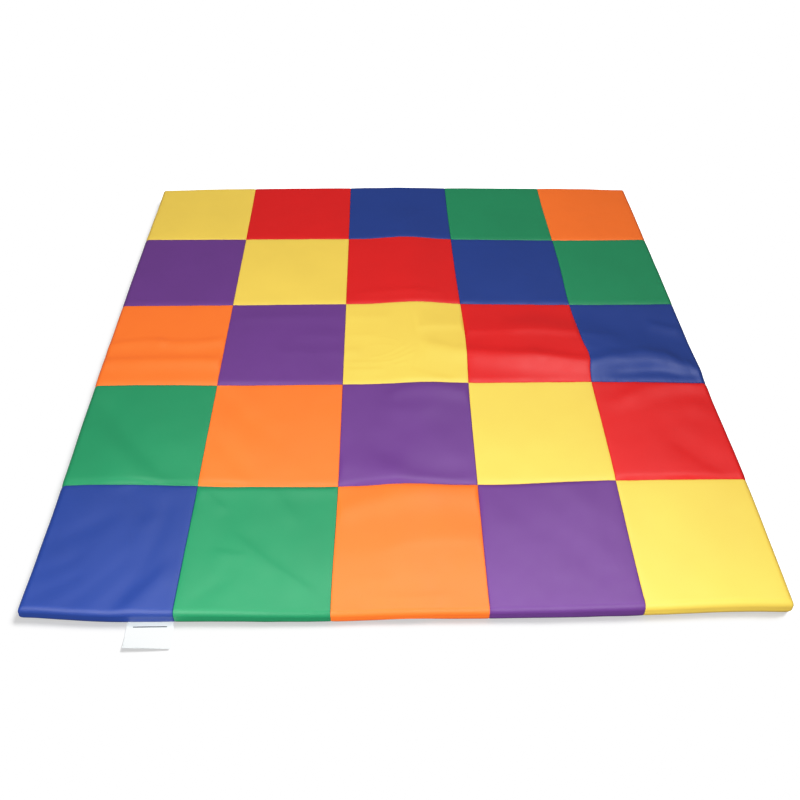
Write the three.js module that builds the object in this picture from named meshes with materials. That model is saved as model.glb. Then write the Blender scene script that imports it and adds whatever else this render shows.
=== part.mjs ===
// A padded baby play mat: a square foam slab in a patchwork cover of coated cloth, lying open on a floor.
// The cover is twenty-five squares in six colours. The outer squares turn down over the rim of the slab
// and meet the underside cloth in a seam near the floor, which also holds a plain white tag.
// Millimetres. +X runs to the right and +Y to the back as the mat is seen from its front edge, +Z up.
// The origin is the middle of the mat, on the floor.
import * as THREE from "three";

// The mat
const MAT_SIDE = 1470;
const MAT_THICK = 34;
const HALF = MAT_SIDE / 2;

// The patchwork. It has crept over the slab a little, so its seams aren't centred on the mat.
const PATCHES = 5;
const PATCH_PITCH = 300;
const CREEP_X = 9.5;
const CREEP_Y = 12;
const CLOTH_THICK = 1.5;
const GAP = 0.3;

// A seam is a shallow valley, as deep as SEAM_DIP in the middle and level again SEAM_REACH away.
const SEAM_DIP = 2;
const SEAM_REACH = 7;

// The rim: the cloth rolls over through EDGE_REACH outwards and EDGE_DROP down, then falls to its hem.
// By the end of the roll it has lost ROLL_LEVELS of the height that the folds give it.
const EDGE_REACH = 14;
const EDGE_DROP = 10;
const ROLL_STEPS = 3;
const ROLL_LEVELS = 0.3;
const HEM_HEIGHT = 4;

// The underside cloth comes out below the hem as a thin lip and turns under to the floor.
const LIP_INSET = 0.4;
const LIP_TOP = 3.4;
const LIP_LOW = 1.6;
const FLOOR_INSET = 3;

// Cells along the open part of each square
const OPEN_CELLS = 5;

// The tag, from the seam to its free end, and the curl of its free end
const TAG_WIDTH = 88;
const TAG_LENGTH = 54;
const TAG_THICK = 1;
const TAG_MIDDLE_X = -487;
const TAG_ROOT_HEIGHT = 1.9;
const TAG_FALL = 16;
const TAG_CURL = 1.6;
const TAG_CELLS = 8;

// The slab was folded in four for storage. Each fold has left a soft ridge, which wanders a little.
// at is the place along the fold, line the ridge's place across it, and rise its height there.
const LONG_FOLD_REACH = 58;
const LONG_FOLD = [
  { at: -732, line: 0, rise: 1 },
  { at: -600, line: 0, rise: 4 },
  { at: -434, line: 0, rise: 7.5 },
  { at: -290, line: 30, rise: 5 },
  { at: -138, line: 58, rise: 7 },
  { at: 162, line: 42, rise: 9 },
  { at: 462, line: 26, rise: 9 },
  { at: 732, line: 8, rise: 4.5 },
];
const CROSS_FOLD_REACH = 34;
const CROSS_FOLD = [
  { at: 90, line: -14, rise: 0 },
  { at: 200, line: -24, rise: 4 },
  { at: 330, line: -34, rise: 6 },
  { at: 460, line: -43, rise: 7 },
  { at: 590, line: -62, rise: 6 },
  { at: 732, line: -82, rise: 2 },
];

// Broad swells and hollows, each a soft mound with its own reach along X and Y
const SWELLS = [
  { x: 300, y: -85, reachX: 185, reachY: 110, rise: 8 },
  { x: -100, y: 160, reachX: 190, reachY: 170, rise: 2.5 },
  { x: -600, y: -150, reachX: 130, reachY: 120, rise: 2 },
  { x: -630, y: -434, reachX: 110, reachY: 110, rise: 5 },
  { x: -190, y: -450, reachX: 120, reachY: 110, rise: -3.5 },
  { x: 205, y: -460, reachX: 90, reachY: 110, rise: -3.5 },
  { x: 620, y: -440, reachX: 150, reachY: 120, rise: 3.5 },
  { x: -70, y: 732, reachX: 400, reachY: 60, rise: 6 },
];

// Where the cloth has been pulled off its straight lines, and how far
const PULLS = [
  { x: 600, y: 732, reachX: 300, reachY: 200, shiftX: -10, shiftY: 0 },
  { x: 440, y: -708, reachX: 230, reachY: 220, shiftX: -10, shiftY: 0 },
  { x: 732, y: -500, reachX: 130, reachY: 300, shiftX: 6, shiftY: 0 },
  { x: -140, y: -728, reachX: 120, reachY: 130, shiftX: -5, shiftY: 0 },
  { x: 160, y: 46, reachX: 110, reachY: 130, shiftX: 7, shiftY: 0 },
  { x: 460, y: -39, reachX: 90, reachY: 38, shiftX: 8, shiftY: 0 },
  { x: 460, y: 196, reachX: 90, reachY: 70, shiftX: -4, shiftY: 0 },
  { x: -732, y: -470, reachX: 160, reachY: 180, shiftX: 5, shiftY: 0 },
  { x: -732, y: 716, reachX: 120, reachY: 160, shiftX: 4, shiftY: 0 },
  { x: 560, y: 466, reachX: 260, reachY: 130, shiftX: 0, shiftY: -11 },
  { x: 580, y: 166, reachX: 220, reachY: 110, shiftX: 0, shiftY: -6 },
  { x: -640, y: -134, reachX: 130, reachY: 90, shiftX: 0, shiftY: 3 },
  { x: -630, y: -434, reachX: 110, reachY: 100, shiftX: 0, shiftY: 5 },
  { x: -190, y: -434, reachX: 120, reachY: 100, shiftX: 0, shiftY: -3 },
  { x: 200, y: -434, reachX: 90, reachY: 100, shiftX: 0, shiftY: -3 },
  { x: 560, y: -434, reachX: 160, reachY: 100, shiftX: 0, shiftY: 3 },
  { x: -732, y: -732, reachX: 90, reachY: 60, shiftX: 0, shiftY: 12 },
  { x: 732, y: -732, reachX: 120, reachY: 60, shiftX: 0, shiftY: 4 },
  { x: 100, y: -732, reachX: 350, reachY: 80, shiftX: 0, shiftY: -3 },
  { x: -732, y: 732, reachX: 70, reachY: 60, shiftX: 0, shiftY: -6 },
  { x: 732, y: 732, reachX: 70, reachY: 60, shiftX: 0, shiftY: -7 },
];

// Cloths. The six colours follow each other along a row, and each row starts one colour earlier.
const CLOTH_ORDER = ["yellow", "red", "blue", "green", "orange", "purple"];
const CLOTH_COLOURS = {
  yellow: "#f8d95a",
  red: "#db2427",
  blue: "#2c459c",
  green: "#2f9462",
  orange: "#fb8238",
  purple: "#77469b",
};
const COATED_CLOTH_ROUGHNESS = 0.55;
const UNDERSIDE_COLOUR = "#2b2d33";
const TAG_COLOUR = "#f4f5f4";
const PLAIN_CLOTH_ROUGHNESS = 0.85;

const coatedCloths = Object.fromEntries(
  Object.entries(CLOTH_COLOURS).map(([name, color]) => [
    name,
    new THREE.MeshStandardMaterial({ color, roughness: COATED_CLOTH_ROUGHNESS, metalness: 0 }),
  ]),
);
const undersideCloth = new THREE.MeshStandardMaterial({
  color: UNDERSIDE_COLOUR,
  roughness: PLAIN_CLOTH_ROUGHNESS,
  metalness: 0,
});
const tagCloth = new THREE.MeshStandardMaterial({
  color: TAG_COLOUR,
  roughness: PLAIN_CLOTH_ROUGHNESS,
  metalness: 0,
});

// A soft mound: 1 in its middle, falling away as a bell curve.
function bell(distance, reach) {
  return Math.exp(-0.5 * (distance / reach) ** 2);
}

// The height of a fold's ridge at a place along and across it, eased from row to row of its table.
function foldRise(fold, reach, along, across) {
  const first = fold[0];
  const last = fold[fold.length - 1];
  const at = THREE.MathUtils.clamp(along, first.at, last.at);
  const next = Math.max(1, fold.findIndex((row) => row.at >= at));
  const [from, to] = [fold[next - 1], fold[next]];
  const share = THREE.MathUtils.smoothstep(at, from.at, to.at);
  const line = THREE.MathUtils.lerp(from.line, to.line, share);
  const rise = THREE.MathUtils.lerp(from.rise, to.rise, share);
  return rise * bell(across - line, reach);
}

// How far the top stands above a flat slab.
function relief(x, y) {
  const folds =
    foldRise(LONG_FOLD, LONG_FOLD_REACH, y, x) + foldRise(CROSS_FOLD, CROSS_FOLD_REACH, x, y);
  return SWELLS.reduce(
    (sum, s) => sum + s.rise * bell(x - s.x, s.reachX) * bell(y - s.y, s.reachY),
    folds,
  );
}

// The cloth's own place (x, y), moved by every pull near it.
function pulled(x, y) {
  return PULLS.reduce(
    ([px, py], p) => {
      const share = bell(x - p.x, p.reachX) * bell(y - p.y, p.reachY);
      return [px + p.shiftX * share, py + p.shiftY * share];
    },
    [x, y],
  );
}

// The rim's section: ring 0 is the flat top, the next rings go over the roll, and the last one is the hem.
// Each ring says how far out and how high the cloth is, and how much of the relief it still follows.
const HEM_RING = ROLL_STEPS + 1;
function rimSection(ring, depth) {
  if (ring >= HEM_RING) {
    return { reach: EDGE_REACH - depth, height: HEM_HEIGHT, follows: 0 };
  }
  const turn = (ring / ROLL_STEPS) * (Math.PI / 2);
  return {
    reach: (EDGE_REACH - depth) * Math.sin(turn),
    height: MAT_THICK - EDGE_DROP + (EDGE_DROP - depth) * Math.cos(turn),
    follows: 1 - ROLL_LEVELS * Math.sin(turn),
  };
}

// The padded body's section goes on below the hem: the side's foot, the lip's two corners and the floor.
const FLOOR_RING = HEM_RING + 3;
function bodySection(ring, depth) {
  const below = [
    { reach: EDGE_REACH - depth, height: HEM_HEIGHT - GAP, follows: 0 },
    { reach: EDGE_REACH - LIP_INSET, height: LIP_TOP, follows: 0 },
    { reach: EDGE_REACH - LIP_INSET, height: LIP_LOW, follows: 0 },
    { reach: EDGE_REACH - FLOOR_INSET, height: 0, follows: 0 },
  ];
  return ring < HEM_RING ? rimSection(ring, depth) : below[ring - HEM_RING];
}

// A place on the mat's surface, depth below its cloth. A station has its place on the flat top (at), its
// ring past the top's edge (ring, negative to the left and front) and its share of a seam's valley (dip).
// Two rings share a corner as a square turned into a quarter of a disc, so that corners are round.
function onMat(stationX, stationY, depth, section) {
  const ringX = Math.abs(stationX.ring);
  const ringY = Math.abs(stationY.ring);
  const ring = Math.max(ringX, ringY);
  const dip = SEAM_DIP * Math.max(stationX.dip, stationY.dip);
  const { reach, height, follows } = section(ring, depth + dip);
  const corner = ring === 0 ? 0 : (Math.min(ringX, ringY) / ring) * (Math.PI / 4);
  const angle = ringX >= ringY ? corner : Math.PI / 2 - corner;
  const outX = ringX === 0 ? 0 : Math.sign(stationX.ring) * Math.cos(angle) * reach;
  const outY = ringY === 0 ? 0 : Math.sign(stationY.ring) * Math.sin(angle) * reach;
  const [x, y] = pulled(stationX.at + outX, stationY.at + outY);
  return [x, y, height + follows * relief(stationX.at, stationY.at)];
}

// The stations across one row or column of squares. Seams keep half of gap free on this side.
function stationsOf(index, creep, gap, lastRing) {
  const top = HALF - EDGE_REACH;
  const seamAt = (line) => (line - PATCHES / 2) * PATCH_PITCH + creep;
  const isFirst = index === 0;
  const isLast = index === PATCHES - 1;
  const start = isFirst ? -top : seamAt(index) + SEAM_REACH;
  const end = isLast ? top : seamAt(index + 1) - SEAM_REACH;
  const open = Array.from({ length: OPEN_CELLS + 1 }, (_, i) => ({
    at: THREE.MathUtils.lerp(start, end, i / OPEN_CELLS),
    ring: 0,
    dip: 0,
  }));
  const rings = Array.from({ length: lastRing }, (_, i) => i + 1);
  const seamDip = 1 - gap / 2 / SEAM_REACH;
  const before = isFirst
    ? rings.map((ring) => ({ at: -top, ring: -ring, dip: 0 })).reverse()
    : [{ at: seamAt(index) + gap / 2, ring: 0, dip: seamDip }];
  const after = isLast
    ? rings.map((ring) => ({ at: top, ring, dip: 0 }))
    : [{ at: seamAt(index + 1) - gap / 2, ring: 0, dip: seamDip }];
  return [...before, ...open, ...after];
}

// Triangles of a grid of points, row by row, facing up; turned over where it is an underside.
function gridTriangles(columns, rows, firstVertex, isUnderside) {
  const triangles = [];
  for (let j = 0; j < rows - 1; j += 1) {
    for (let i = 0; i < columns - 1; i += 1) {
      const a = firstVertex + j * columns + i;
      const b = a + 1;
      const c = a + columns + 1;
      const d = a + columns;
      triangles.push(...(isUnderside ? [a, c, b, a, d, c] : [a, b, c, a, c, d]));
    }
  }
  return triangles;
}

// The outline of a grid of points, once round, anticlockwise from above.
function gridOutline(columns, rows) {
  const front = Array.from({ length: columns - 1 }, (_, i) => i);
  const right = Array.from({ length: rows - 1 }, (_, j) => j * columns + columns - 1);
  const back = Array.from({ length: columns - 1 }, (_, i) => rows * columns - 1 - i);
  const left = Array.from({ length: rows - 1 }, (_, j) => (rows - 1 - j) * columns);
  return [...front, ...right, ...back, ...left];
}

// A closed sheet: an upper and an under grid of the same points, joined round their outline.
function sheetGeometry(columns, rows, upperPoint, underPoint) {
  const points = [upperPoint, underPoint].flatMap((pointAt) =>
    Array.from({ length: columns * rows }, (_, n) => pointAt(n % columns, Math.floor(n / columns))),
  );
  const under = columns * rows;
  const outline = gridOutline(columns, rows);
  const wall = outline.flatMap((a, n) => {
    const b = outline[(n + 1) % outline.length];
    return [a, a + under, b + under, a, b + under, b];
  });
  const geometry = new THREE.BufferGeometry();
  geometry.setAttribute("position", new THREE.Float32BufferAttribute(points.flat(), 3));
  geometry.setIndex([
    ...gridTriangles(columns, rows, 0, false),
    ...gridTriangles(columns, rows, under, true),
    ...wall,
  ]);
  return geometry;
}

// One square of coated cloth. An outer square goes on over the rim down to its hem.
function patchGeometry(column, row) {
  const across = stationsOf(column, CREEP_X, GAP, HEM_RING);
  const deep = stationsOf(row, CREEP_Y, GAP, HEM_RING);
  const pointAt = (depth) => (i, j) => onMat(across[i], deep[j], depth, rimSection);
  return sheetGeometry(across.length, deep.length, pointAt(0), pointAt(CLOTH_THICK));
}

// The padded body: the slab, closed by the underside cloth. Its top lies just under the patchwork, its
// side ends in the lip below the hem, and its foot is flat on the floor.
function bodyGeometry() {
  const squares = Array.from({ length: PATCHES }, (_, index) => index);
  const joined = (creep) => {
    const all = squares.flatMap((index) => stationsOf(index, creep, 0, FLOOR_RING));
    return all.filter((s, n) => n === 0 || s.ring !== all[n - 1].ring || s.at !== all[n - 1].at);
  };
  const across = joined(CREEP_X);
  const deep = joined(CREEP_Y);
  const columns = across.length;
  const rows = deep.length;
  const points = deep.flatMap((stationY) =>
    across.map((stationX) => onMat(stationX, stationY, CLOTH_THICK + GAP, bodySection)),
  );
  const outline = gridOutline(columns, rows);
  const foot = THREE.ShapeUtils.triangulateShape(
    outline.map((n) => new THREE.Vector2(points[n][0], points[n][1])),
    [],
  ).flatMap(([a, b, c]) => [outline[a], outline[c], outline[b]]);
  const geometry = new THREE.BufferGeometry();
  geometry.setAttribute("position", new THREE.Float32BufferAttribute(points.flat(), 3));
  geometry.setIndex([...gridTriangles(columns, rows, 0, false), ...foot]);
  return geometry;
}

// The tag leaves the seam at the lip, falls to the floor and lies there with its free end curled up.
function tagGeometry() {
  const pointAt = (thickness) => (i, j) => {
    const side = i / TAG_CELLS - 0.5;
    const out = (1 - j / TAG_CELLS) * TAG_LENGTH;
    const x = TAG_MIDDLE_X + side * TAG_WIDTH;
    const [, lip] = pulled(x, -HALF + LIP_INSET);
    const fall = TAG_ROOT_HEIGHT * (1 - THREE.MathUtils.smoothstep(out, 0, TAG_FALL));
    const curl = TAG_CURL * (out / TAG_LENGTH) ** 3 * (0.5 - side);
    return [x, lip - GAP - out, fall + curl + thickness];
  };
  return sheetGeometry(TAG_CELLS + 1, TAG_CELLS + 1, pointAt(TAG_THICK), pointAt(0));
}

function named(name, geometry, material) {
  geometry.computeVertexNormals();
  const mesh = new THREE.Mesh(geometry, material);
  mesh.name = name;
  return mesh;
}

// Rows are counted from the back of the mat and columns from its left.
const patchwork = new THREE.Group();
for (let row = 0; row < PATCHES; row += 1) {
  for (let column = 0; column < PATCHES; column += 1) {
    const turn = (column - row + CLOTH_ORDER.length) % CLOTH_ORDER.length;
    const colour = CLOTH_ORDER[turn];
    const name = `patch_r${row + 1}_c${column + 1}_${colour}`;
    patchwork.add(named(name, patchGeometry(column, PATCHES - 1 - row), coatedCloths[colour]));
  }
}

const mat = new THREE.Group();
mat.add(named("padded_body", bodyGeometry(), undersideCloth));
mat.add(patchwork);
mat.add(named("tag", tagGeometry(), tagCloth));

export default mat;
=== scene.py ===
import math
from collections import namedtuple

import bpy
import numpy as np
from mathutils import Matrix, Vector


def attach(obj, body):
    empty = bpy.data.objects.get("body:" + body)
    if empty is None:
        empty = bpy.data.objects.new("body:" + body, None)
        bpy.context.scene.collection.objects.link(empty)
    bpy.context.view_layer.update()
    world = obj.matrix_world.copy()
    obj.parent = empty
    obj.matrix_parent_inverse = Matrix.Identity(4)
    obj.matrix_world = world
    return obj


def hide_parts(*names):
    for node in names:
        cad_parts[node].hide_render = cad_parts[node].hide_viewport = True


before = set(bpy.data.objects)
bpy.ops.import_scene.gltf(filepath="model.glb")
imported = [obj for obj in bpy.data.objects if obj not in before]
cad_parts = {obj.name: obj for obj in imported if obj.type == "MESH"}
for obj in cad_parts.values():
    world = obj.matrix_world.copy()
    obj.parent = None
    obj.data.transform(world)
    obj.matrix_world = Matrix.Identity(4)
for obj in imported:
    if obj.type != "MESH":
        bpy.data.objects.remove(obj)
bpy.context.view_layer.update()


# The camera stands in front of the mat's middle, at the height of an adult's shoulders, and looks down
# and a little to the right. Place in metres, lens and film in millimetres.
CAMERA_PLACE = (-0.0424, -1.4597, 1.3639)
CAMERA_TURNS_RIGHT = math.radians(1.73)
CAMERA_LOOKS_DOWN = math.radians(46.37)
CAMERA_LEANS = math.radians(0.77)
CAMERA_LENS = 35.13
CAMERA_FILM = 36

camera = bpy.data.objects.new("camera", bpy.data.cameras.new("camera"))
camera.data.lens = CAMERA_LENS
camera.data.sensor_width = CAMERA_FILM
camera.matrix_world = (
    Matrix.Translation(CAMERA_PLACE)
    @ Matrix.Rotation(-CAMERA_TURNS_RIGHT, 4, "Z")
    @ Matrix.Rotation(math.pi / 2 - CAMERA_LOOKS_DOWN, 4, "X")
    @ Matrix.Rotation(CAMERA_LEANS, 4, "Z")
)
bpy.context.scene.collection.objects.link(camera)
bpy.context.scene.camera = camera


# The padded body: a slab of soft foam, closed below by a dark woven cloth. That cloth comes out under
# the cover's hem as a thin rounded lip, turns under and lies flat on the floor.
# Sizes in metres. The top is flat up to EDGE_REACH inside the edge, then rolls down by EDGE_DROP and
# loses ROLL_LEVELS of its relief on the way. The side swells out a little and turns in at the hem.
HALF = 0.735
MAT_THICK = 0.034
EDGE_REACH = 0.014
EDGE_DROP = 0.014
ROLL_LEVELS = 0.3
HEM_HEIGHT = 0.0014
TOP = HALF - EDGE_REACH
SIDE_DROP = MAT_THICK - EDGE_DROP - HEM_HEIGHT
SIDE_SWELL = 0.0012
SIDE_TUCK = 0.0012

# The corners' outline is a rounded square: a circle has 2 here, and larger is squarer
CORNER_SQUARENESS = 5

# The cover's squares, and how far its seams lie off the middle of the cloth
SQUARES = 5
PITCH = 0.300
CREEP_X = 0.0095
CREEP_Y = 0.012

# The cloth's own length over the roll, a quarter of an ellipse, and down the side
ROLL_RUN = math.pi / 2 * math.sqrt((EDGE_REACH**2 + EDGE_DROP**2) / 2)
RIM_RUN = ROLL_RUN + SIDE_DROP

# The ridges left by folding the slab in four: at is the place along the fold, line the ridge's place
# across it, rise its height there and flat how far its flat top runs on behind the line. Behind and
# before are how far the slopes reach. The crest is the sharp edge of the cross fold.
Ridge = namedtuple("Ridge", "at line rise flat", defaults=[0])
Fold = namedtuple("Fold", "behind before ridges")
LONG_FOLD = Fold(
    0.058,
    0.058,
    [
        Ridge(-0.732, 0.000, 0.0010),
        Ridge(-0.600, 0.000, 0.0040),
        Ridge(-0.434, 0.000, 0.0075),
        Ridge(-0.290, 0.030, 0.0050),
        Ridge(-0.138, 0.058, 0.0070),
        Ridge(0.162, 0.042, 0.0090),
        Ridge(0.462, 0.026, 0.0090),
        Ridge(0.732, 0.008, 0.0020),
    ],
)
CROSS_FOLD = Fold(
    0.045,
    0.034,
    [
        Ridge(0.090, -0.014, 0.0000, 0.000),
        Ridge(0.200, -0.036, 0.0045, 0.030),
        Ridge(0.330, -0.048, 0.0100, 0.085),
        Ridge(0.460, -0.058, 0.0100, 0.075),
        Ridge(0.590, -0.066, 0.0086, 0.030),
        Ridge(0.732, -0.092, 0.0046, 0.000),
    ],
)
CREST = Fold(
    0.017,
    0.026,
    [
        Ridge(0.040, -0.010, 0.0000),
        Ridge(0.070, -0.015, 0.0030),
        Ridge(0.150, -0.032, 0.0036),
        Ridge(0.180, -0.040, 0.0045),
        Ridge(0.300, -0.056, 0.0050),
        Ridge(0.460, -0.082, 0.0050),
        Ridge(0.530, -0.060, 0.0058),
        Ridge(0.600, -0.050, 0.0064),
        Ridge(0.650, -0.056, 0.0064),
        Ridge(0.700, -0.084, 0.0046),
        Ridge(0.730, -0.106, 0.0026),
    ],
)

# The hollow in front of the crest at the right: a fold whose ridge goes down
HOLLOW = Fold(
    0.013,
    0.015,
    [
        Ridge(0.490, -0.112, 0.0000),
        Ridge(0.550, -0.104, -0.0038),
        Ridge(0.620, -0.099, -0.0052),
        Ridge(0.700, -0.112, -0.0044),
        Ridge(0.735, -0.122, -0.0014),
    ],
)

# Broad swells and hollows of the slab
Swell = namedtuple("Swell", "x y reach_x reach_y rise")
SWELLS = [
    Swell(0.300, -0.060, 0.185, 0.080, 0.0045),
    Swell(-0.100, 0.160, 0.190, 0.170, 0.0025),
    Swell(-0.600, -0.150, 0.130, 0.120, 0.0020),
    Swell(-0.630, -0.434, 0.110, 0.110, 0.0050),
    Swell(-0.190, -0.450, 0.120, 0.110, -0.0035),
    Swell(0.205, -0.450, 0.080, 0.090, -0.0028),
    Swell(0.620, -0.440, 0.150, 0.120, 0.0035),
    Swell(-0.070, 0.732, 0.400, 0.060, 0.0052),
    Swell(0.000, 0.735, 0.900, 0.040, 0.0010),
    Swell(-0.040, -0.740, 0.200, 0.060, -0.0070),
]

# The cover's seams draw the slab down: just behind each seam between rows it rounds down over
# STEP_NEAR, and in front of the seam it comes up again over STEP_FAR. Drop is how far, by place along
# the seam, for each of the four seams from the front.
Step = namedtuple("Step", "at drop")
STEP_NEAR = 0.0062
STEP_FAR = 0.100
ROW_STEPS = [
    [
        Step(-0.74, 0.0026),
        Step(-0.60, 0.0046),
        Step(-0.45, 0.0030),
        Step(-0.38, 0.0036),
        Step(-0.27, 0.0006),
        Step(-0.16, 0.0010),
        Step(-0.05, 0.0038),
        Step(0.08, 0.0034),
        Step(0.17, 0.0008),
        Step(0.43, 0.0004),
        Step(0.50, 0.0030),
        Step(0.62, 0.0034),
        Step(0.74, 0.0022),
    ],
    [
        Step(-0.74, 0.0014),
        Step(-0.40, 0.0018),
        Step(-0.12, 0.0005),
        Step(0.10, 0.0014),
        Step(0.45, 0.0009),
        Step(0.74, 0.0012),
    ],
    [Step(-0.74, 0.0008), Step(0.30, 0.0012), Step(0.74, 0.0008)],
    [Step(-0.74, 0.0004), Step(0.30, 0.0008), Step(0.74, 0.0004)],
]

# Where the cloth is pulled off its straight lines, and how far
Pull = namedtuple("Pull", "x y reach_x reach_y shift_x shift_y")
PULLS = [
    Pull(0.600, 0.732, 0.300, 0.200, -0.010, 0.000),
    Pull(0.440, -0.708, 0.230, 0.220, -0.010, 0.000),
    Pull(0.732, -0.500, 0.130, 0.300, 0.006, 0.000),
    Pull(0.740, 0.050, 0.100, 0.600, 0.0022, 0.000),
    Pull(0.740, -0.560, 0.100, 0.160, 0.0020, 0.000),
    Pull(0.745, 0.640, 0.060, 0.100, 0.0035, 0.000),
    Pull(-0.140, -0.728, 0.120, 0.130, -0.005, 0.000),
    Pull(0.160, 0.046, 0.110, 0.130, 0.007, 0.000),
    Pull(0.460, -0.052, 0.090, 0.030, 0.008, 0.000),
    Pull(0.460, 0.196, 0.090, 0.070, -0.004, 0.000),
    Pull(-0.732, -0.470, 0.160, 0.180, 0.005, 0.000),
    Pull(-0.732, 0.716, 0.120, 0.160, 0.004, 0.000),
    Pull(0.560, 0.466, 0.260, 0.130, 0.000, -0.011),
    Pull(0.580, 0.166, 0.220, 0.110, 0.000, -0.006),
    Pull(-0.640, -0.134, 0.130, 0.090, 0.000, 0.003),
    Pull(0.745, -0.138, 0.080, 0.060, 0.000, -0.006),
    Pull(-0.630, -0.434, 0.110, 0.100, 0.000, 0.005),
    Pull(-0.190, -0.434, 0.120, 0.100, 0.000, -0.003),
    Pull(0.200, -0.434, 0.090, 0.100, 0.000, -0.003),
    Pull(0.560, -0.434, 0.160, 0.100, 0.000, 0.003),
    Pull(-0.732, -0.732, 0.080, 0.060, 0.000, 0.010),
    Pull(-0.600, -0.732, 0.130, 0.060, 0.000, -0.002),
    Pull(0.732, -0.732, 0.120, 0.060, 0.000, 0.004),
    Pull(0.100, -0.732, 0.350, 0.080, 0.000, -0.003),
    Pull(0.250, -0.732, 0.160, 0.060, 0.000, -0.002),
    Pull(0.380, -0.732, 0.160, 0.060, 0.000, -0.0012),
    Pull(-0.190, -0.738, 0.130, 0.050, 0.000, -0.0045),
    Pull(0.740, -0.738, 0.050, 0.050, 0.000, -0.004),
    Pull(0.000, 0.738, 0.900, 0.040, 0.000, 0.004),
    Pull(-0.732, 0.732, 0.070, 0.060, 0.000, -0.006),
    Pull(0.732, 0.732, 0.070, 0.060, 0.000, -0.007),
]

# Where the hem is drawn up off its level line: at the front, the left, the right and the back
Lift = namedtuple("Lift", "x y reach rise")
HEM_LIFTS = [
    Lift(-0.735, -0.735, 0.045, 0.0040),
    Lift(-0.635, -0.735, 0.025, 0.0012),
    Lift(-0.150, -0.735, 0.100, 0.0008),
    Lift(0.010, -0.735, 0.032, 0.0044),
    Lift(0.300, -0.735, 0.090, 0.0006),
    Lift(0.600, -0.735, 0.080, 0.0010),
    Lift(-0.735, -0.250, 0.120, 0.0008),
    Lift(0.735, 0.100, 0.150, 0.0008),
    Lift(0.200, 0.735, 0.160, 0.0008),
]

# How deep the body lies under the cloth's face, and the lip of underside cloth below the hem
BODY_DEPTH = 0.0062
LIP_RADIUS = 0.0008
LIP_MIDDLE = 0.0098
FLOOR_INSET = 0.005
BODY_CELL = 0.010
RIM_CELL = 0.003
UNDERSIDE_COLOUR = (0.024, 0.026, 0.033)
UNDERSIDE_THREAD = 0.0007
UNDERSIDE_ROUGHNESS = 0.9
UNDERSIDE_PATCHES_PER_METRE = 60


def bell(distance, reach):
    """A soft mound: 1 in its middle, falling away as a bell curve."""
    return np.exp(-0.5 * (distance / reach) ** 2)


def smooth_step(share):
    """Goes from 0 to 1 as share does, level at both ends: three squares less two cubes."""
    return share * share * (3 - 2 * share)


def eased(table, column, at):
    """A column of a ridge's table at the places at, joined from row to row by smooth steps."""
    rows = np.array([row.at for row in table])
    values = np.array([getattr(row, column) for row in table])
    at = np.clip(at, rows[0], rows[-1])
    left = np.clip(np.searchsorted(rows, at, side="right") - 1, 0, len(rows) - 2)
    share = smooth_step((at - rows[left]) / (rows[left + 1] - rows[left]))
    return values[left] + share * (values[left + 1] - values[left])


def seam_lines(creep):
    """The places of the four seams between five squares."""
    return (np.arange(1, SQUARES) - SQUARES / 2) * PITCH + creep


def steps_down(x, y):
    """The drops at the seams between rows: at each seam half a narrow bell behind it and half a wide
    one before it, as high as its table says at x."""
    total = 0
    for steps, seam in zip(ROW_STEPS, seam_lines(CREEP_Y)):
        reach = np.where(y > seam, STEP_NEAR, STEP_FAR)
        total = total + eased(steps, "drop", x) * bell(y - seam, reach)
    return total


def ridge(fold, along, across):
    """A fold's ridge: its height along its table times a bell across it, which has a reach of its own
    before and behind and is flat in between."""
    aside = across - eased(fold.ridges, "line", along)
    aside = np.where(aside > 0, np.maximum(aside - eased(fold.ridges, "flat", along), 0), aside)
    reach = np.where(aside > 0, fold.behind, fold.before)
    return eased(fold.ridges, "rise", along) * bell(aside, reach)


def relief(x, y):
    """How far the top stands above a flat slab: the folds' ridges plus every swell, less the drops at
    the seams."""
    rise = ridge(LONG_FOLD, y, x)
    for fold in [CROSS_FOLD, CREST, HOLLOW]:
        rise = rise + ridge(fold, x, y)
    for s in SWELLS:
        rise = rise + s.rise * bell(x - s.x, s.reach_x) * bell(y - s.y, s.reach_y)
    return rise - steps_down(x, y)


def pulled(x, y):
    """The cloth's place (x, y) with the shift of every pull near it added."""
    shares = [bell(x - p.x, p.reach_x) * bell(y - p.y, p.reach_y) for p in PULLS]
    shift_x = sum(p.shift_x * share for p, share in zip(PULLS, shares))
    shift_y = sum(p.shift_y * share for p, share in zip(PULLS, shares))
    return x + shift_x, y + shift_y


def rim_section(run, depth=0.0):
    """The rim run metres past the flat top: a quarter of an ellipse over the roll, then the side, which
    swells by a squared sine and turns in by a cube. Gives how far out and how high it is, how much of
    the relief it still follows, and how much of the hem's lift."""
    turn = np.clip(run / ROLL_RUN, 0, 1) * math.pi / 2
    down = np.clip((run - ROLL_RUN) / SIDE_DROP, 0, 1)
    reach = (EDGE_REACH - depth) * np.sin(turn) + SIDE_SWELL * np.sin(math.pi * down) ** 2
    reach = reach - SIDE_TUCK * down**3
    height = MAT_THICK - EDGE_DROP + (EDGE_DROP - depth) * np.cos(turn) - SIDE_DROP * down
    follows = (1 - ROLL_LEVELS * np.sin(turn)) * (1 - down)
    return reach, height, follows, down**2


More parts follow.
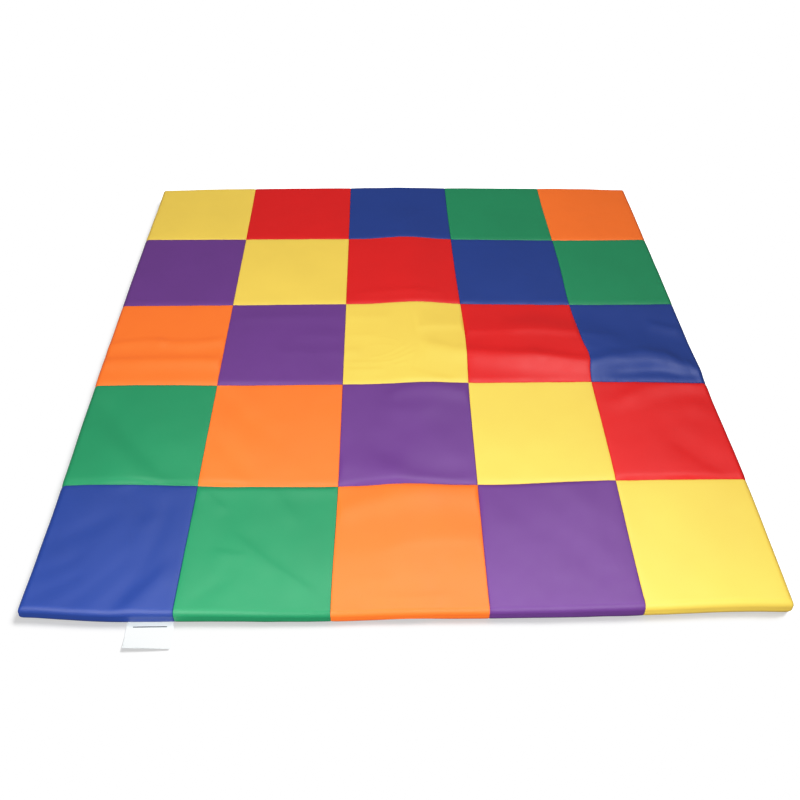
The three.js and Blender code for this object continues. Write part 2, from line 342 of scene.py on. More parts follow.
def body_section(run):
    """The body's own section: the rim at its depth below the cloth, then half a circle round the lip
    and a short straight foot to the floor."""
    reach, height, follows, lifts = rim_section(run, BODY_DEPTH)
    past = run - RIM_RUN
    around = np.clip(past / (math.pi * LIP_RADIUS), 0, 1)
    foot = np.clip((past - math.pi * LIP_RADIUS) / RIM_CELL, 0, 1)
    lip_reach = LIP_MIDDLE + LIP_RADIUS * np.sin(math.pi * around)
    lip_height = LIP_RADIUS * (1 + np.cos(math.pi * around))
    foot_reach = EDGE_REACH - FLOOR_INSET
    on_lip = past > 0
    reach = np.where(on_lip, lip_reach + foot * (foot_reach - LIP_MIDDLE), reach)
    height = np.where(on_lip, lip_height, height)
    return reach, height, np.where(on_lip, 0, follows), np.where(on_lip, 1 - around, lifts)


def on_mat(x, y, section):
    """The place of the cloth's own coordinates x and y, measured along the cloth from the mat's middle.
    Past the flat top the section takes over. At a corner the square of the two runs is turned into a
    quarter of a disc, whose radius then grows as a superellipse's does. Last come the pulls, the relief
    and the hem's lifts."""
    at_x = np.clip(x, -TOP, TOP)
    at_y = np.clip(y, -TOP, TOP)
    past_x = np.abs(x - at_x)
    past_y = np.abs(y - at_y)
    run = np.maximum(past_x, past_y)
    reach, height, follows, lifts = section(run)
    corner = np.minimum(past_x, past_y) / np.maximum(run, 1e-9) * math.pi / 4
    angle = np.where(past_x >= past_y, corner, math.pi / 2 - corner)
    power = CORNER_SQUARENESS
    reach = reach / (np.cos(angle) ** power + np.sin(angle) ** power) ** (1 / power)
    out_x = at_x + np.sign(x - at_x) * np.cos(angle) * reach
    out_y = at_y + np.sign(y - at_y) * np.sin(angle) * reach
    lift = sum(r.rise * bell(out_x - r.x, r.reach) * bell(out_y - r.y, r.reach) for r in HEM_LIFTS)
    place_x, place_y = pulled(out_x, out_y)
    return np.stack([place_x, place_y, height + follows * relief(at_x, at_y) + lifts * lift], -1)


def even_steps(start, end, cell):
    """Even steps from start to end, none longer than cell."""
    return np.linspace(start, end, math.ceil(abs(end - start) / cell) + 1)


def grid_faces(columns, rows, first=0, turned=False):
    """The quads of a grid of points stored row by row, facing up, or down where turned."""
    corner = first + np.arange((rows - 1) * columns).reshape(rows - 1, columns)[:, :-1].ravel()
    quads = np.stack([corner, corner + 1, corner + columns + 1, corner + columns], -1)
    return quads[:, ::-1] if turned else quads


def grid_outline(columns, rows):
    """The numbers of a grid's outer points, once round, anticlockwise from above."""
    grid = np.arange(columns * rows).reshape(rows, columns)
    return np.concatenate([grid[0, :-1], grid[:-1, -1], grid[-1, :0:-1], grid[:0:-1, 0]])


def new_piece(name, points, faces, cloth_places, material, sharp=math.radians(50)):
    """A mesh object of these points and quads, smooth but for edges sharper than sharp. Its UV map
    "cloth" holds cloth_places, each point's own place on the cloth in metres."""
    mesh = bpy.data.meshes.new(name)
    mesh.from_pydata(points.tolist(), [], faces.tolist())
    layer = mesh.uv_layers.new(name="cloth")
    layer.uv.foreach_set("vector", cloth_places[faces.ravel()].astype(np.float32).ravel())
    mesh.shade_smooth()
    mesh.set_sharp_from_angle(angle=sharp)
    mesh.materials.append(material)
    piece = bpy.data.objects.new(name, mesh)
    bpy.context.scene.collection.objects.link(piece)
    return piece


def add_node(tree, kind, links=(), **inputs):
    """A node of this kind: links joins its inputs to sockets, and the other words set values."""
    node = tree.nodes.new(kind)
    for name, value in inputs.items():
        if name in node.inputs:
            node.inputs[name].default_value = value
        else:
            setattr(node, name, value)
    for name, socket in dict(links).items():
        tree.links.new(socket, node.inputs[name])
    return node


def new_material(name, roughness):
    """A material with a plain shader of this roughness, its node tree and its shader."""
    material = bpy.data.materials.new(name)
    material.use_nodes = True
    shader = material.node_tree.nodes["Principled BSDF"]
    shader.inputs["Roughness"].default_value = roughness
    return material, material.node_tree, shader


def cloth_place(tree):
    """The point's own place on the cloth, in metres, from the UV map."""
    return add_node(tree, "ShaderNodeUVMap", uv_map="cloth").outputs["UV"]


def threads(tree, place, width, way, distortion):
    """A wave's height, one band to every thread of this width. At scale 1 a band is pi / 10 wide."""
    scale = math.pi / (10 * width)
    links = {"Vector": place}
    wave = add_node(
        tree, "ShaderNodeTexWave", links, Scale=scale, Distortion=distortion, bands_direction=way
    )
    return wave.outputs["Fac"]


def uneven_colour(tree, noise, colour, darkest, lightest, spread):
    """The colour times darkest where the noise is low and times lightest where it is high, with a
    straight blend over spread either side of the noise's middle."""
    ramp = add_node(tree, "ShaderNodeValToRGB", {"Fac": noise.outputs["Fac"]})
    ends = zip(ramp.color_ramp.elements, (0.5 - spread, 0.5 + spread), (darkest, lightest))
    for end, position, shade in ends:
        end.position = position
        end.color = (*[min(1, shade * c) for c in colour], 1)
    return ramp.outputs["Color"]


def woven_cloth(name, colour, thread):
    """A plain weave: two waves at right angles, one thread wide each, taken in turn by a checker, raise
    the threads, and a soft noise makes them uneven in colour."""
    material, tree, shader = new_material(name, UNDERSIDE_ROUGHNESS)
    place = cloth_place(tree)
    warp = threads(tree, place, thread, "X", distortion=0.4)
    weft = threads(tree, place, thread, "Y", distortion=0.4)
    over = add_node(tree, "ShaderNodeTexChecker", {"Vector": place}, Scale=1 / thread)
    height = add_node(
        tree,
        "ShaderNodeMix",
        {"Factor": over.outputs["Fac"], "A": warp, "B": weft},
        data_type="FLOAT",
    )
    noise = add_node(
        tree, "ShaderNodeTexNoise", {"Vector": place}, Scale=UNDERSIDE_PATCHES_PER_METRE, Detail=4.0
    )
    shade = uneven_colour(tree, noise, colour, darkest=0.7, lightest=1.3, spread=0.2)
    raised = add_node(
        tree, "ShaderNodeBump", {"Height": height.outputs["Result"]}, Strength=0.5, Distance=thread / 4
    )
    tree.links.new(shade, shader.inputs["Base Color"])
    tree.links.new(raised.outputs["Normal"], shader.inputs["Normal"])
    return material


def body_stations():
    """Stations along one direction of the body: wide steps over the top, narrow ones round the rim."""
    below = RIM_RUN + even_steps(0, math.pi * LIP_RADIUS, RIM_CELL / 3)[1:]
    rim = np.concatenate([even_steps(0, RIM_RUN, RIM_CELL)[1:], below, [below[-1] + RIM_CELL]])
    return np.concatenate([-TOP - rim[::-1], even_steps(-TOP, TOP, BODY_CELL), TOP + rim])


def flat_foot(rim_points, side):
    """The flat foot: a patch stretched between its four border lines, which are the rim's last points.
    Each point is the sum of the two straight blends between opposite borders, less the blend of the
    four corners."""
    across = np.linspace(0, 1, side)[None, :, None]
    deep = np.linspace(0, 1, side)[:, None, None]
    front, back = rim_points[:1], rim_points[-1:]
    left, right = rim_points[:, :1], rim_points[:, -1:]
    corners = (1 - across) * (1 - deep) * rim_points[0, 0] + across * (1 - deep) * rim_points[0, -1]
    corners = corners + (1 - across) * deep * rim_points[-1, 0] + across * deep * rim_points[-1, -1]
    foot = (1 - deep) * front + deep * back + (1 - across) * left + across * right - corners
    foot[..., 2] = 0
    return foot


stations = body_stations()
side = len(stations)
cloth_x, cloth_y = np.meshgrid(stations, stations)
shell = on_mat(cloth_x, cloth_y, body_section)
foot = flat_foot(shell, side)
outline = grid_outline(side, side)
inside = np.setdiff1d(np.arange(side * side), outline)
foot_points = foot.reshape(-1, 3)[inside]
number = np.arange(side * side)
number[inside] = side * side + np.arange(len(inside))
padded_body = new_piece(
    "padded_body_in_underside_cloth",
    np.concatenate([shell.reshape(-1, 3), foot_points]),
    np.concatenate([grid_faces(side, side), number[grid_faces(side, side, turned=True)]]),
    np.concatenate([np.stack([cloth_x, cloth_y], -1).reshape(-1, 2), foot_points[:, :2]]),
    woven_cloth("underside woven cloth", UNDERSIDE_COLOUR, UNDERSIDE_THREAD),
)
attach(padded_body, "root")
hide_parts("padded_body")


# The cover: twenty-five squares of coated cloth in six colours, sewn edge to edge from the back and
# stretched over the slab. The outer squares roll over its rim and are sewn to the underside cloth at
# the hem. Every edge turns down into its seam, and the cloth dips towards each seam.
CLOTH_THICK = 0.0012
SEAM_DIP = 0.0012
SEAM_REACH = 0.0040
SEAM_TURN = 0.0013
SEAM_DIP_AT_HEM = 0.3

# The grid's stations near a seam and near the hem, and its cells elsewhere
NEAR_SEAM = np.array([0.15, 0.4, 0.9, 1.6, 3.0, 5.0, 8.0, 12.0]) / 1000
NEAR_HEM = np.array([0, 0.3, 0.8, 1.5]) / 1000
OPEN_CELL = 0.0050
FINE_CELL = 0.0026
ROLL_CELL = 0.0018
SIDE_CELL = 0.0028
NORMAL_STEP = 0.0004

# Small unevenness of a hand-filled cover: how high, how wide, and how near the seams it lies. Each
# kind draws its waves from a seed of its own. Creases and swells are free FREE_FROM reaches off a seam.
PUCKER_RISE = 0.00022
PUCKER_PITCH = 0.012
PUCKER_REACH = 0.008
PUCKER_SEED = 7
UNEVEN_RISE = 0.00018
UNEVEN_PITCH = 0.090
UNEVEN_SEED = 11
VALLEY_VARIES = 0.15
VALLEY_PITCH = 0.08
VALLEY_SEED = 5
FREE_FROM = 1.2
RIPPLE_WAVES = 16

# The colours follow each other along a row, and each row starts one colour earlier
COLOUR_ORDER = ["yellow", "red", "blue", "green", "orange", "purple"]
CLOTH_COLOURS = {
    "yellow": (0.86, 0.585, 0.084),
    "red": (0.66, 0.008, 0.008),
    "blue": (0.013, 0.040, 0.222),
    "green": (0.012, 0.230, 0.092),
    "orange": (0.98, 0.168, 0.019),
    "purple": (0.124, 0.036, 0.212),
}
GRAIN_SIZE = 0.0011
CLOTH_ROUGHNESS = 0.45
ROUGHNESS_VARIES = 0.07
CLOTH_SHINE = 0.36
TINT_PATCHES_PER_METRE = 7
GLOSS_PATCHES_PER_METRE = 35

# Creases listed by square. Each runs from (x, y) to (to_x, to_y), bowed aside by bow to its left.
# It stands rise high, or is as deep where rise is negative, reaches left and right of its line,
# and fades over fade at its ends.
Crease = namedtuple("Crease", "x y to_x to_y bow left right rise fade")
CREASES = {
    "r1_c3": [
        Crease(0.000, 0.520, 0.100, 0.610, 0.010, 0.014, 0.018, 0.0012, 0.030),
    ],
    "r2_c3": [
        Crease(-0.100, 0.206, 0.120, 0.200, 0.006, 0.010, 0.012, 0.0012, 0.040),
    ],
    "r3_c1": [
        Crease(-0.740, 0.000, -0.590, 0.018, 0.005, 0.010, 0.014, 0.0026, 0.030),
        Crease(-0.610, 0.014, -0.440, 0.022, -0.008, 0.010, 0.014, 0.0028, 0.030),
        Crease(-0.730, -0.060, -0.430, -0.058, 0.004, 0.012, 0.018, 0.0042, 0.040),
    ],
    "r3_c2": [
        Crease(-0.430, 0.104, -0.150, 0.106, 0.004, 0.014, 0.016, 0.0012, 0.050),
        Crease(-0.270, 0.036, -0.140, 0.038, 0.002, 0.014, 0.014, 0.0009, 0.050),
        Crease(-0.300, -0.026, -0.140, -0.028, 0.002, 0.014, 0.016, 0.0009, 0.050),
    ],
    "r3_c3": [
        Crease(-0.145, 0.104, -0.030, 0.100, 0.003, 0.014, 0.014, 0.0010, 0.040),
        Crease(-0.140, 0.034, -0.060, 0.032, 0.000, 0.010, 0.012, 0.0008, 0.040),
        Crease(-0.155, -0.022, -0.100, -0.026, 0.000, 0.010, 0.012, 0.0009, 0.030),
        Crease(-0.125, -0.066, -0.030, -0.066, 0.000, 0.005, 0.008, 0.0006, 0.030),
        Crease(-0.130, -0.092, -0.040, -0.092, 0.000, 0.007, 0.010, 0.0008, 0.030),
        Crease(-0.060, 0.022, -0.005, 0.006, 0.008, 0.003, 0.004, 0.0002, 0.016),
        Crease(-0.082, -0.008, -0.014, -0.012, 0.006, 0.004, 0.004, 0.0002, 0.022),
        Crease(-0.075, -0.049, 0.012, -0.007, -0.008, 0.0035, 0.0045, 0.0005, 0.022),
        Crease(-0.045, -0.055, 0.034, -0.012, -0.007, 0.0035, 0.0045, 0.0005, 0.022),
        Crease(-0.040, -0.066, 0.033, -0.034, -0.005, 0.0035, 0.0045, 0.0005, 0.022),
        Crease(-0.020, -0.076, 0.014, -0.068, -0.002, 0.0035, 0.0045, 0.0004, 0.014),
        Crease(0.046, 0.060, 0.170, 0.070, 0.004, 0.030, 0.014, 0.0030, 0.020),
        Crease(0.052, 0.066, 0.140, 0.160, -0.008, 0.010, 0.024, -0.0008, 0.030),
        Crease(0.030, -0.082, 0.130, -0.114, -0.006, 0.028, 0.010, -0.0012, 0.020),
    ],
    "r3_c4": [
        Crease(0.150, 0.048, 0.480, 0.038, 0.004, 0.045, 0.015, 0.0034, 0.020),
    ],
    "r3_c5": [
        Crease(0.650, 0.072, 0.725, 0.044, 0.000, 0.012, 0.018, 0.0030, 0.030),
        Crease(0.450, 0.028, 0.560, 0.024, 0.000, 0.010, 0.010, 0.0010, 0.040),
    ],
    "r4_c1": [
        Crease(-0.700, -0.180, -0.470, -0.440, -0.012, 0.030, 0.020, -0.0044, 0.140),
        Crease(-0.740, -0.260, -0.570, -0.425, 0.006, 0.022, 0.020, 0.0024, 0.100),
    ],
    "r4_c2": [
        Crease(-0.450, -0.130, -0.320, -0.300, 0.004, 0.018, 0.022, -0.0024, 0.140),
        Crease(-0.440, -0.275, -0.310, -0.440, 0.000, 0.018, 0.018, -0.0020, 0.120),
    ],
    "r4_c3": [
        Crease(-0.030, -0.176, 0.160, -0.172, 0.018, 0.014, 0.020, 0.0026, 0.050),
        Crease(-0.040, -0.218, 0.080, -0.215, -0.010, 0.018, 0.020, 0.0012, 0.060),
        Crease(-0.060, -0.335, 0.130, -0.412, -0.020, 0.026, 0.020, -0.0021, 0.080),
        Crease(-0.140, -0.380, 0.000, -0.415, 0.000, 0.030, 0.020, 0.0020, 0.050),
    ],
    "r4_c5": [
        Crease(0.510, -0.205, 0.735, -0.152, 0.024, 0.018, 0.021, 0.0044, 0.100),
        Crease(0.610, -0.230, 0.720, -0.226, 0.008, 0.020, 0.024, 0.0018, 0.080),
        Crease(0.610, -0.325, 0.710, -0.425, -0.004, 0.032, 0.014, -0.0015, 0.070),
    ],
    "r5_c1": [
        Crease(-0.572, -0.730, -0.490, -0.640, -0.006, 0.016, 0.014, -0.0013, 0.050),
        Crease(-0.534, -0.730, -0.466, -0.640, -0.004, 0.013, 0.024, 0.0022, 0.050),
        Crease(-0.650, -0.720, -0.540, -0.600, -0.010, 0.014, 0.018, -0.0010, 0.060),
        Crease(-0.730, -0.700, -0.630, -0.650, -0.006, 0.012, 0.014, -0.0010, 0.040),
        Crease(-0.730, -0.650, -0.640, -0.605, -0.006, 0.012, 0.014, -0.0010, 0.040),
        Crease(-0.730, -0.580, -0.600, -0.515, -0.006, 0.016, 0.018, -0.0013, 0.060),
        Crease(-0.590, -0.445, -0.530, -0.520, 0.006, 0.014, 0.016, -0.0016, 0.040),
        Crease(-0.495, -0.480, -0.545, -0.690, 0.016, 0.012, 0.016, -0.0010, 0.050),
    ],
    "r5_c2": [
        Crease(-0.345, -0.568, -0.180, -0.696, -0.006, 0.009, 0.022, 0.0013, 0.060),
        Crease(-0.378, -0.604, -0.322, -0.614, -0.002, 0.007, 0.014, 0.0008, 0.030),
        Crease(-0.290, -0.445, -0.225, -0.535, 0.002, 0.011, 0.018, 0.0010, 0.060),
        Crease(-0.430, -0.450, -0.375, -0.500, 0.000, 0.007, 0.014, 0.0009, 0.030),
        Crease(-0.410, -0.715, -0.350, -0.660, 0.000, 0.014, 0.016, -0.0010, 0.040),
        Crease(-0.446, -0.448, -0.146, -0.448, 0.000, 0.004, 0.014, 0.0012, 0.020),
    ],
    "r5_c3": [
        Crease(-0.135, -0.507, 0.170, -0.466, 0.020, 0.022, 0.024, 0.0026, 0.040),
        Crease(-0.040, -0.598, 0.160, -0.584, 0.014, 0.032, 0.014, 0.0012, 0.090),
        Crease(-0.080, -0.702, 0.070, -0.706, -0.004, 0.006, 0.014, 0.0008, 0.030),
        Crease(-0.120, -0.664, -0.020, -0.676, 0.000, 0.010, 0.012, 0.0006, 0.030),
    ],
    "r5_c4": [
        Crease(0.160, -0.530, 0.380, -0.440, 0.000, 0.060, 0.070, 0.0024, 0.080),
    ],
}

FINE_SQUARES = {"r3_c3", "r3_c4", "r3_c5", "r5_c2"}


def ripple(x, y, pitch, seed):
    """An even unevenness, mostly from -1 to 1: the sum of plane waves over the root of their number,
    with directions, starts and lengths about pitch drawn from seed."""
    draw = np.random.default_rng(seed)
    heading, start = draw.uniform(0, 2 * math.pi, (2, RIPPLE_WAVES))
    length = pitch * draw.uniform(0.7, 1.6, RIPPLE_WAVES)
    waves = zip(np.cos(heading) / length, np.sin(heading) / length, start)
    total = sum(np.sin(2 * math.pi * (x * u + y * v) + s) for u, v, s in waves)
    return total / math.sqrt(RIPPLE_WAVES)


def from_seam(places, seams):
    """The distance from each place to the nearest seam."""
    return np.abs(places[..., None] - seams).min(-1)


def valley(distance):
    """The dip towards a seam, which fades as an exponential away from it."""
    return SEAM_DIP * np.exp(-distance / SEAM_REACH)


def turned_down(distance):
    """The last millimetre before a seam goes down as a quarter of a circle."""
    short = np.clip(SEAM_TURN - distance, 0, SEAM_TURN)
    return SEAM_TURN - np.sqrt(SEAM_TURN**2 - short**2)


def crease_height(c, x, y):
    """One crease, a ridge or a trough: a bell across its bowed line, with its own reach on either side,
    times smooth steps at both ends."""
    length = math.hypot(c.to_x - c.x, c.to_y - c.y)
    along_x, along_y = (c.to_x - c.x) / length, (c.to_y - c.y) / length
    along = (x - c.x) * along_x + (y - c.y) * along_y
    share = np.clip(along / length, 0, 1)
    aside = (y - c.y) * along_x - (x - c.x) * along_y - c.bow * 4 * share * (1 - share)
    from_end = np.clip(0.5 + np.minimum(along, length - along) / c.fade, 0, 1)
    return c.rise * bell(aside, np.where(aside > 0, c.left, c.right)) * smooth_step(from_end)


def cover_displacement(x, y, square):
    """How far the cover stands off its smooth form at the cloth's own x and y: minus the valleys and
    turned edges of the seams and the hem, plus puckers near the seams, plus creases and unevenness,
    which fade out at the seams. Valleys grow shallow and creases end over the roll."""
    to_seam_x = from_seam(x, seam_lines(CREEP_X))
    to_seam_y = from_seam(y, seam_lines(CREEP_Y))
    to_hem = TOP + RIM_RUN - np.maximum(np.abs(x), np.abs(y))
    to_seam = np.minimum(to_seam_x, to_seam_y)
    on_top = np.clip(1 - (np.maximum(np.abs(x), np.abs(y)) - TOP) / ROLL_RUN, 0, 1)
    varies = 1 + VALLEY_VARIES * ripple(x, y, VALLEY_PITCH, VALLEY_SEED)
    depth = np.hypot(valley(to_seam_x), valley(to_seam_y)) * varies
    depth = depth * (SEAM_DIP_AT_HEM + (1 - SEAM_DIP_AT_HEM) * on_top)
    depth = depth + turned_down(to_seam_x) + turned_down(to_seam_y) + turned_down(to_hem)
    along = np.where(to_seam_x < to_seam_y, y, x)
    pucker = ripple(along, along * 0, PUCKER_PITCH, PUCKER_SEED) * np.exp(-to_seam / PUCKER_REACH)
    seen_x, seen_y = pulled(x, y)
    creases = sum(crease_height(c, seen_x, seen_y) for c in CREASES.get(square, []))
    free = 1 - np.exp(-((to_seam / (FREE_FROM * SEAM_REACH)) ** 2))
    uneven = UNEVEN_RISE * ripple(x, y, UNEVEN_PITCH, UNEVEN_SEED)
    return PUCKER_RISE * pucker + free * (on_top * creases + uneven) - depth


def outward(x, y, section):
    """The smooth form's normal: the cross product of its two central differences, taken a step inside
    the hem."""
    h = NORMAL_STEP
    inside = TOP + RIM_RUN - h
    x, y = np.clip(x, -inside, inside), np.clip(y, -inside, inside)
    along_x = on_mat(x + h, y, section) - on_mat(x - h, y, section)
    along_y = on_mat(x, y + h, section) - on_mat(x, y - h, section)
    normal = np.cross(along_x, along_y)
    return normal / np.linalg.norm(normal, axis=-1, keepdims=True)


def square_stations(index, seams, cell):
    """Stations across one square: close together at a seam or round the rim, cell apart between."""
    side_and_roll = np.concatenate(
        [
            NEAR_HEM,
            even_steps(SIDE_CELL, SIDE_DROP, SIDE_CELL),
            SIDE_DROP + even_steps(0, ROLL_RUN, ROLL_CELL)[1:],
            [RIM_RUN + cell / 2],
        ]
    )
    is_first, is_last = index == 0, index == SQUARES - 1
    near_start = side_and_roll - TOP - RIM_RUN if is_first else seams[index - 1] + NEAR_SEAM
    near_end = TOP + RIM_RUN - side_and_roll[::-1] if is_last else seams[index] - NEAR_SEAM[::-1]
    between = even_steps(near_start[-1], near_end[0], cell)[1:-1]
    return np.concatenate([near_start, between, near_end])


def thick_sheet(upper, under):
    """The points and quads of a sheet from the grids of its upper and under faces: both faces, and the
    wall between their outlines."""
    rows, columns = upper.shape[:2]
    first_under = columns * rows
    outline = grid_outline(columns, rows)
    onward = np.roll(outline, -1)
    wall = np.stack([outline, outline + first_under, onward + first_under, onward], -1)
    under_faces = grid_faces(columns, rows, first_under, turned=True)
    points = np.concatenate([upper.reshape(-1, 3), under.reshape(-1, 3)])
    return points, np.concatenate([grid_faces(columns, rows), under_faces, wall])


def coated_cloth(name, colour):
    """Coated cloth with a soft sheen: a fine pebbled grain of random cells raises it, and slow noises
    vary its colour and its gloss."""
    material, tree, shader = new_material(name, CLOTH_ROUGHNESS)
    shader.inputs["Specular IOR Level"].default_value = CLOTH_SHINE
    place = cloth_place(tree)
    broad = add_node(
        tree, "ShaderNodeTexNoise", {"Vector": place}, Scale=TINT_PATCHES_PER_METRE, Detail=3.0
    )
    tint = uneven_colour(tree, broad, colour, darkest=0.96, lightest=1.03, spread=0.25)
    small = add_node(
        tree, "ShaderNodeTexNoise", {"Vector": place}, Scale=GLOSS_PATCHES_PER_METRE, Detail=4.0
    )
    gloss = add_node(tree, "ShaderNodeMapRange", {"Value": small.outputs["Fac"]})
    gloss.inputs["To Min"].default_value = CLOTH_ROUGHNESS - ROUGHNESS_VARIES
    gloss.inputs["To Max"].default_value = CLOTH_ROUGHNESS + ROUGHNESS_VARIES
    grain = add_node(
        tree, "ShaderNodeTexVoronoi", {"Vector": place}, Scale=1 / GRAIN_SIZE, feature="SMOOTH_F1"
    )
    pebbled = add_node(
        tree,
        "ShaderNodeBump",
        {"Height": grain.outputs["Distance"]},
        Strength=0.30,
        Distance=GRAIN_SIZE / 9,
        invert=True,
    )
    tree.links.new(tint, shader.inputs["Base Color"])
    tree.links.new(gloss.outputs["Result"], shader.inputs["Roughness"])
    tree.links.new(pebbled.outputs["Normal"], shader.inputs["Normal"])
    return material


cloths = {name: coated_cloth(f"{name} coated cloth", colour) for name, colour in CLOTH_COLOURS.items()}
for row in range(SQUARES):
    for column in range(SQUARES):
        colour = COLOUR_ORDER[(column - row) % len(COLOUR_ORDER)]
        square = f"r{row + 1}_c{column + 1}"
        cell = FINE_CELL if square in FINE_SQUARES else OPEN_CELL
        across = square_stations(column, seam_lines(CREEP_X), cell)
        deep = square_stations(SQUARES - 1 - row, seam_lines(CREEP_Y), cell)
        cloth_x, cloth_y = np.meshgrid(across, deep)
        normal = outward(cloth_x, cloth_y, rim_section)
        standing = cover_displacement(cloth_x, cloth_y, square)[..., None]
        upper = on_mat(cloth_x, cloth_y, rim_section) + standing * normal
        points, faces = thick_sheet(upper, upper - CLOTH_THICK * normal)
        places = np.stack([cloth_x, cloth_y], -1).reshape(-1, 2)
        patch = new_piece(
            f"cloth_{square}_{colour}", points, faces, np.concatenate([places, places]), cloths[colour]
        )
        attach(patch, "root")
        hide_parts(f"patch_{square}_{colour}")


# The tag: a plain strip of white satin ribbon, cut square and sewn into the seam at the front hem. It
# falls to the floor and lies there, its free end curled up a little at the left.
TAG_WIDTH = 0.088
TAG_LENGTH = 0.0570
TAG_THICK = 0.0005
TAG_MIDDLE_X = -0.487
TAG_ROOT_HEIGHT = 0.0002
TAG_FALL = 0.016
TAG_CURL = 0.0085
TAG_CURL_AT_MIDDLE = 0.7
TAG_CURL_TILTS = 0.6
TAG_SLANT = 0.09
TAG_WAVE = 0.0004
TAG_WAVE_ACROSS = 75
TAG_WAVE_ALONG = 30
TAG_CELL = 0.0015
TAG_ROOT_GAP = 0.0002
LIP_OUT = TOP + LIP_MIDDLE + LIP_RADIUS
TAG_COLOUR = (0.60, 0.64, 0.64)
TAG_LINE_COLOUR = (0.02, 0.02, 0.02)
TAG_LINE_OUT = 0.0115
TAG_LINE_THICK = 0.0022
TAG_LINE_INSET = 0.012
RIBBON_RIB = 0.0005
RIBBON_ROUGHNESS = 0.38


def tag_surface(side, out):
    """The tag side metres right of its middle and out metres from its root, slanted to the right: a
    smooth fall to the floor, a curl that grows with the square of out, more to the left, and a slow
    wave."""
    fall = TAG_ROOT_HEIGHT * (1 - smooth_step(np.clip(out / TAG_FALL, 0, 1)))
    share = TAG_CURL_AT_MIDDLE - TAG_CURL_TILTS * side / TAG_WIDTH
    curl = TAG_CURL * (out / TAG_LENGTH) ** 2 * share
    turn = side * TAG_WAVE_ACROSS + out * TAG_WAVE_ALONG
    wave = TAG_WAVE * (out / TAG_LENGTH) * (1 + np.sin(turn)) / 2
    x = TAG_MIDDLE_X + side + TAG_SLANT * out
    lip = pulled(x, x * 0 - LIP_OUT)[1]
    return np.stack([x, lip - TAG_ROOT_GAP - out, fall + curl + wave + TAG_THICK], -1)


def worked_out(tree, sum_kind, first, second=0.0):
    """The result of a sum of this kind on a socket and on a second socket or a number."""
    node = add_node(tree, "ShaderNodeMath", {0: first}, operation=sum_kind)
    if isinstance(second, float):
        node.inputs[1].default_value = second
    else:
        tree.links.new(second, node.inputs[1])
    return node.outputs[0]


def satin_ribbon(name):
    """White satin ribbon: fine ribs across it, and one plain printed line, a box in the ribbon's own
    coordinates."""
    material, tree, shader = new_material(name, RIBBON_ROUGHNESS)
    place = cloth_place(tree)
    parts = add_node(tree, "ShaderNodeSeparateXYZ", {"Vector": place})
    past_line = worked_out(tree, "SUBTRACT", parts.outputs["Y"], TAG_LINE_OUT)
    from_line = worked_out(tree, "ABSOLUTE", past_line)
    in_height = worked_out(tree, "LESS_THAN", from_line, TAG_LINE_THICK / 2)
    from_middle = worked_out(tree, "ABSOLUTE", parts.outputs["X"])
    in_width = worked_out(tree, "LESS_THAN", from_middle, TAG_WIDTH / 2 - TAG_LINE_INSET)
    inside = worked_out(tree, "MULTIPLY", in_height, in_width)
    printed = add_node(tree, "ShaderNodeMix", {"Factor": inside}, data_type="RGBA")
    printed.inputs["A"].default_value = (*TAG_COLOUR, 1)
    printed.inputs["B"].default_value = (*TAG_LINE_COLOUR, 1)
    ribs = threads(tree, place, RIBBON_RIB, "Y", distortion=0.3)
    raised = add_node(
        tree, "ShaderNodeBump", {"Height": ribs}, Strength=0.25, Distance=RIBBON_RIB / 4
    )
    tree.links.new(printed.outputs["Result"], shader.inputs["Base Color"])
    tree.links.new(raised.outputs["Normal"], shader.inputs["Normal"])
    return material


across = even_steps(-TAG_WIDTH / 2, TAG_WIDTH / 2, TAG_CELL)
deep = even_steps(TAG_LENGTH, 0, TAG_CELL)
ribbon_x, ribbon_out = np.meshgrid(across, deep)
upper = tag_surface(ribbon_x, ribbon_out)
points, faces = thick_sheet(upper, upper - np.array([0, 0, TAG_THICK]))
places = np.stack([ribbon_x, ribbon_out], -1).reshape(-1, 2)
tag = new_piece(
    "tag_of_satin_ribbon",
    points,
    faces,
    np.concatenate([places, places]),
    satin_ribbon("white satin ribbon"),
)
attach(tag, "root")
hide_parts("tag")


# The floor and the light: a plain white floor, two soft lamps low above the front edge, a softbox
# overhead, two beside it that only the cloth's gloss shows, and a lamp from the back right, which
# only draws the mat's shadow on the floor.
FLOOR_SIDE = 14
FLOOR_HEIGHT = -0.0006
FLOOR_COLOUR = (0.50, 0.50, 0.50, 1)
FLOOR_GLOW = 0.55
FLOOR_ROUGHNESS = 0.9
WORLD_LIGHT = 0.14

# Lights says whether a lamp lights the cloth's colour, and gleams whether its gloss shows the lamp
Lamp = namedtuple("Lamp", "name place aim size power lights gleams")
LAMPS = [
    Lamp("left front lamp", (-0.65, -1.15, 0.65), (0.0, -0.10, 0), 0.8, 11.0, True, True),
    Lamp("right front lamp", (0.45, -1.20, 0.70), (0.0, -0.10, 0), 0.8, 9.2, True, True),
    Lamp("overhead softbox", (-0.25, 0.38, 3.00), (0.0, 0.00, 0), 1.2, 67, True, False),
    Lamp("right gloss softbox", (1.00, 0.40, 3.00), (0.2, -0.30, 0), 1.4, 43, False, True),
    Lamp("left gloss softbox", (-0.70, 0.40, 3.00), (-0.2, -0.30, 0), 1.2, 24, False, True),
]

# The lamp that only draws the shadow on the floor stands far off at the back right
SHADOW_LAMP_SIDE = (1.0, 0.75, 1.0)
SHADOW_LAMP_STRENGTH = 10.5
SHADOW_LAMP_ANGLE = math.radians(42)

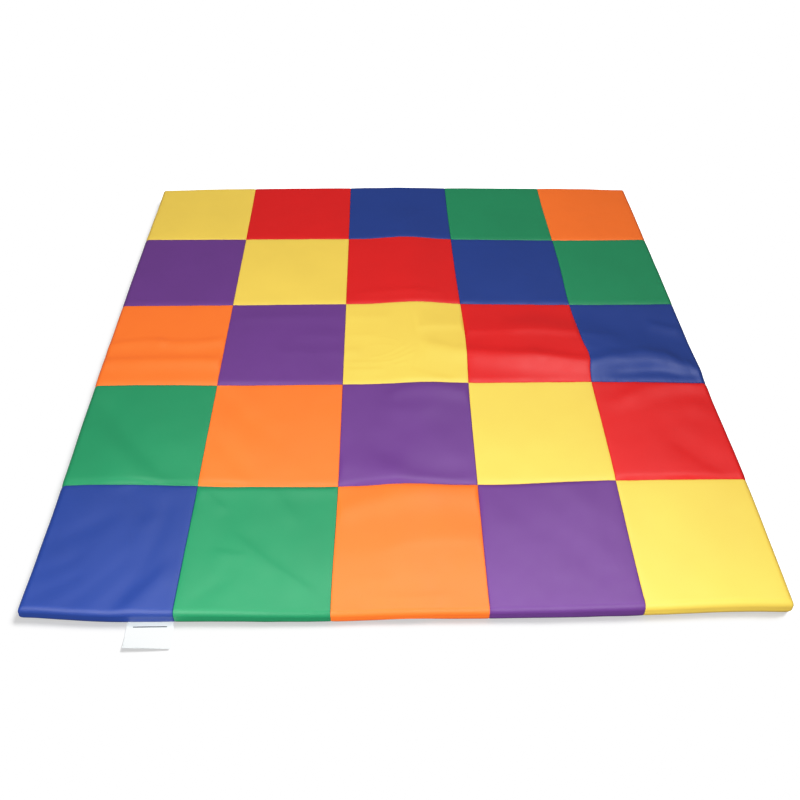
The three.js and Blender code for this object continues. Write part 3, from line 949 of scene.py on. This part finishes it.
# How the camera answers to light, as pairs of light and value: even at first and flatter above, so
# that the lightest cloths don't burn out near the front
TONE_CURVE = [
    (0.0, 0.0),
    (0.35, 0.35),
    (0.68, 0.675),
    (0.8, 0.775),
    (0.9, 0.86),
    (1.0, 0.93),
    (1.1, 0.975),
    (1.25, 1.0),
]


def floor_material():
    """White floor: a diffuse white with a little glow of its own, so that it stays white far away."""
    material, tree, shader = new_material("white floor", FLOOR_ROUGHNESS)
    shader.inputs["Base Color"].default_value = FLOOR_COLOUR
    shader.inputs["Specular IOR Level"].default_value = 0
    shader.inputs["Emission Color"].default_value = (1, 1, 1, 1)
    shader.inputs["Emission Strength"].default_value = FLOOR_GLOW
    return material


floor_mesh = bpy.data.meshes.new("floor")
edge = FLOOR_SIDE / 2
floor_corners = [(-edge, -edge), (edge, -edge), (edge, edge), (-edge, edge)]
floor_mesh.from_pydata([(x, y, FLOOR_HEIGHT) for x, y in floor_corners], [], [(0, 1, 2, 3)])
floor_mesh.materials.append(floor_material())
floor = bpy.data.objects.new("floor", floor_mesh)
bpy.context.scene.collection.objects.link(floor)
floor.visible_diffuse = False
floor.visible_glossy = False


def receivers(name, state):
    """A list of what a lamp lights: the floor alone, or all but the floor."""
    listed = bpy.data.collections.new(name)
    listed.objects.link(floor)
    listed.collection_objects[0].light_linking.link_state = state
    return listed


def hang_lamp(name, light, place, aim, lit, lights=True, gleams=True):
    """Puts a light at its place, facing its aim, and names what it lights, and in which way."""
    holder = bpy.data.objects.new(name, light)
    towards = (Vector(aim) - Vector(place)).to_track_quat("-Z", "Y").to_matrix().to_4x4()
    holder.matrix_world = Matrix.Translation(place) @ towards
    holder.light_linking.receiver_collection = lit
    holder.visible_camera = False
    holder.visible_diffuse = lights
    holder.visible_glossy = gleams
    bpy.context.scene.collection.objects.link(holder)


all_but_floor = receivers("all but the floor", "EXCLUDE")
for lamp in LAMPS:
    light = bpy.data.lights.new(lamp.name, "AREA")
    light.size = lamp.size
    light.energy = lamp.power
    hang_lamp(lamp.name, light, lamp.place, lamp.aim, all_but_floor, lamp.lights, lamp.gleams)

shadow_light = bpy.data.lights.new("shadow lamp", "SUN")
shadow_light.energy = SHADOW_LAMP_STRENGTH
shadow_light.angle = SHADOW_LAMP_ANGLE
hang_lamp("shadow lamp", shadow_light, SHADOW_LAMP_SIDE, (0, 0, 0), receivers("the floor", "INCLUDE"))

world = bpy.data.worlds.new("white studio")
world.use_nodes = True
world.node_tree.nodes["Background"].inputs["Color"].default_value = (1, 1, 1, 1)
world.node_tree.nodes["Background"].inputs["Strength"].default_value = WORLD_LIGHT
bpy.context.scene.world = world
view = bpy.context.scene.view_settings
view.view_transform = "Standard"
view.use_curve_mapping = True
view.curve_mapping.use_clip = False
view.curve_mapping.extend = "HORIZONTAL"
for tone in view.curve_mapping.curves[:3]:
    tone.points[0].location = TONE_CURVE[0]
    tone.points[1].location = TONE_CURVE[-1]
    for light_in, value_out in TONE_CURVE[1:-1]:
        tone.points.new(light_in, value_out)
view.curve_mapping.update()
